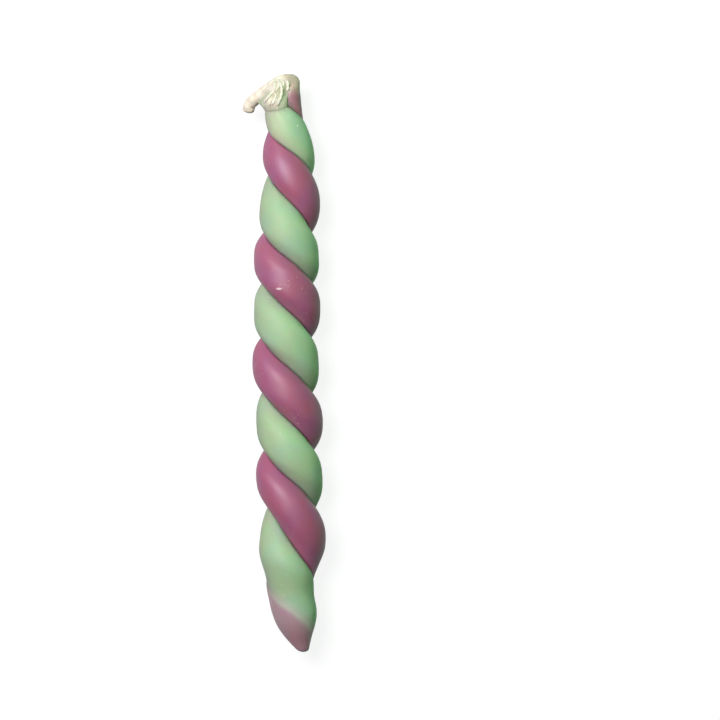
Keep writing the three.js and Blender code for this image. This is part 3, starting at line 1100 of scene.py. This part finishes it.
class CANDLE_OT_set_stage(bpy.types.Operator):
    """Sets the white floor, the soft lamps and the camera that looks straight down"""

    bl_idname = "candle.set_stage"
    bl_label = "Set stage"

    def execute(self, context):
        scene = context.scene
        stage = scene.candle_stage
        bm = bmesh.new()
        bmesh.ops.create_grid(bm, x_segments=1, y_segments=1, size=stage.floor / 2)
        floor = finished_mesh(bm, "floor", matt_card("uncoated_white_card"))

        middle = Vector((stage.view_middle[0], stage.view_middle[1], scene.candle_form.place[2]))
        self.hang_lamp("large_soft_lamp", stage, middle, stage.lamp_way, stage.lamp_power)
        fill = self.hang_lamp("green_fill_lamp", stage, middle, stage.fill_way, stage.fill_power)
        fill.data.color = stage.fill_colour
        fill.visible_glossy = False

        world = bpy.data.worlds.new("plain_studio")
        world.use_nodes = True
        tree = world.node_tree
        tree.nodes.clear()
        seen = add_node(tree, "ShaderNodeLightPath")
        shown = add_node(
            tree,
            "ShaderNodeMath",
            {0: seen.outputs["Is Camera Ray"], 1: seen.outputs["Is Transmission Ray"]},
            operation="MAXIMUM",
        )
        strength = add_node(
            tree,
            "ShaderNodeMapRange",
            {"Value": shown.outputs[0], "To Min": stage.sky, "To Max": 1.0},
        )
        sky = add_node(tree, "ShaderNodeBackground", {"Strength": strength.outputs["Result"]})
        sky.inputs["Color"].default_value = (1, 1, 1, 1)
        add_node(tree, "ShaderNodeOutputWorld", {"Surface": sky.outputs[0]})
        scene.world = world

        camera = bpy.data.objects.new("camera", bpy.data.cameras.new("camera"))
        camera.location = middle + Vector((0, 0, stage.camera_far))
        camera.data.sensor_width = CAMERA_SENSOR
        camera.data.lens = CAMERA_SENSOR * stage.camera_far / stage.view_width
        camera.data.clip_start = 0.01
        scene.collection.objects.link(camera)
        scene.camera = camera
        scene.view_settings.view_transform = "Standard"
        return {"FINISHED"}

    def hang_lamp(self, name, stage, middle, way, power):
        """Hangs a square lamp that faces the candle."""
        direction = Vector(way).normalized()
        lamp = bpy.data.lights.new(name, "AREA")
        lamp.size = stage.lamp
        lamp.energy = power
        hung = bpy.data.objects.new(name, lamp)
        hung.location = middle + direction * stage.lamp_far
        hung.rotation_euler = direction.to_track_quat("Z", "Y").to_euler()
        bpy.context.scene.collection.objects.link(hung)
        return hung


class CANDLE_PT_make(bpy.types.Panel):
    """Lists the steps that make the candle"""

    bl_label = "Twisted Beeswax Candle"
    bl_idname = "CANDLE_PT_make"
    bl_space_type = "VIEW_3D"
    bl_region_type = "UI"
    bl_category = "Candle"

    def draw(self, context):
        for operator in OPERATORS:
            self.layout.operator(operator.bl_idname)
        for group in SETTINGS:
            self.layout.separator()
            settings = getattr(context.scene, group)
            for name in settings.__annotations__:
                self.layout.prop(settings, name)


SETTINGS = {
    "candle_form": CandleForm,
    "candle_wicks": CandleWicks,
    "candle_colours": CandleColours,
    "candle_stage": CandleStage,
}
OPERATORS = [
    CANDLE_OT_wind_tapers,
    CANDLE_OT_bend_mauve_wick,
    CANDLE_OT_fray_mint_wick,
    CANDLE_OT_pull_wax_film,
    CANDLE_OT_set_stage,
]


def register():
    for made in (*SETTINGS.values(), *OPERATORS, CANDLE_PT_make):
        bpy.utils.register_class(made)
    for name, group in SETTINGS.items():
        setattr(bpy.types.Scene, name, PointerProperty(type=group))


def unregister():
    for name in SETTINGS:
        delattr(bpy.types.Scene, name)
    for made in (CANDLE_PT_make, *reversed(OPERATORS), *reversed(SETTINGS.values())):
        bpy.utils.unregister_class(made)


def main():
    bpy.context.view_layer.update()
    register()
    bpy.ops.candle.wind_tapers()
    bpy.ops.candle.bend_mauve_wick()
    bpy.ops.candle.fray_mint_wick()
    bpy.ops.candle.pull_wax_film()
    bpy.ops.candle.set_stage()


if __name__ == "__main__":
    main()
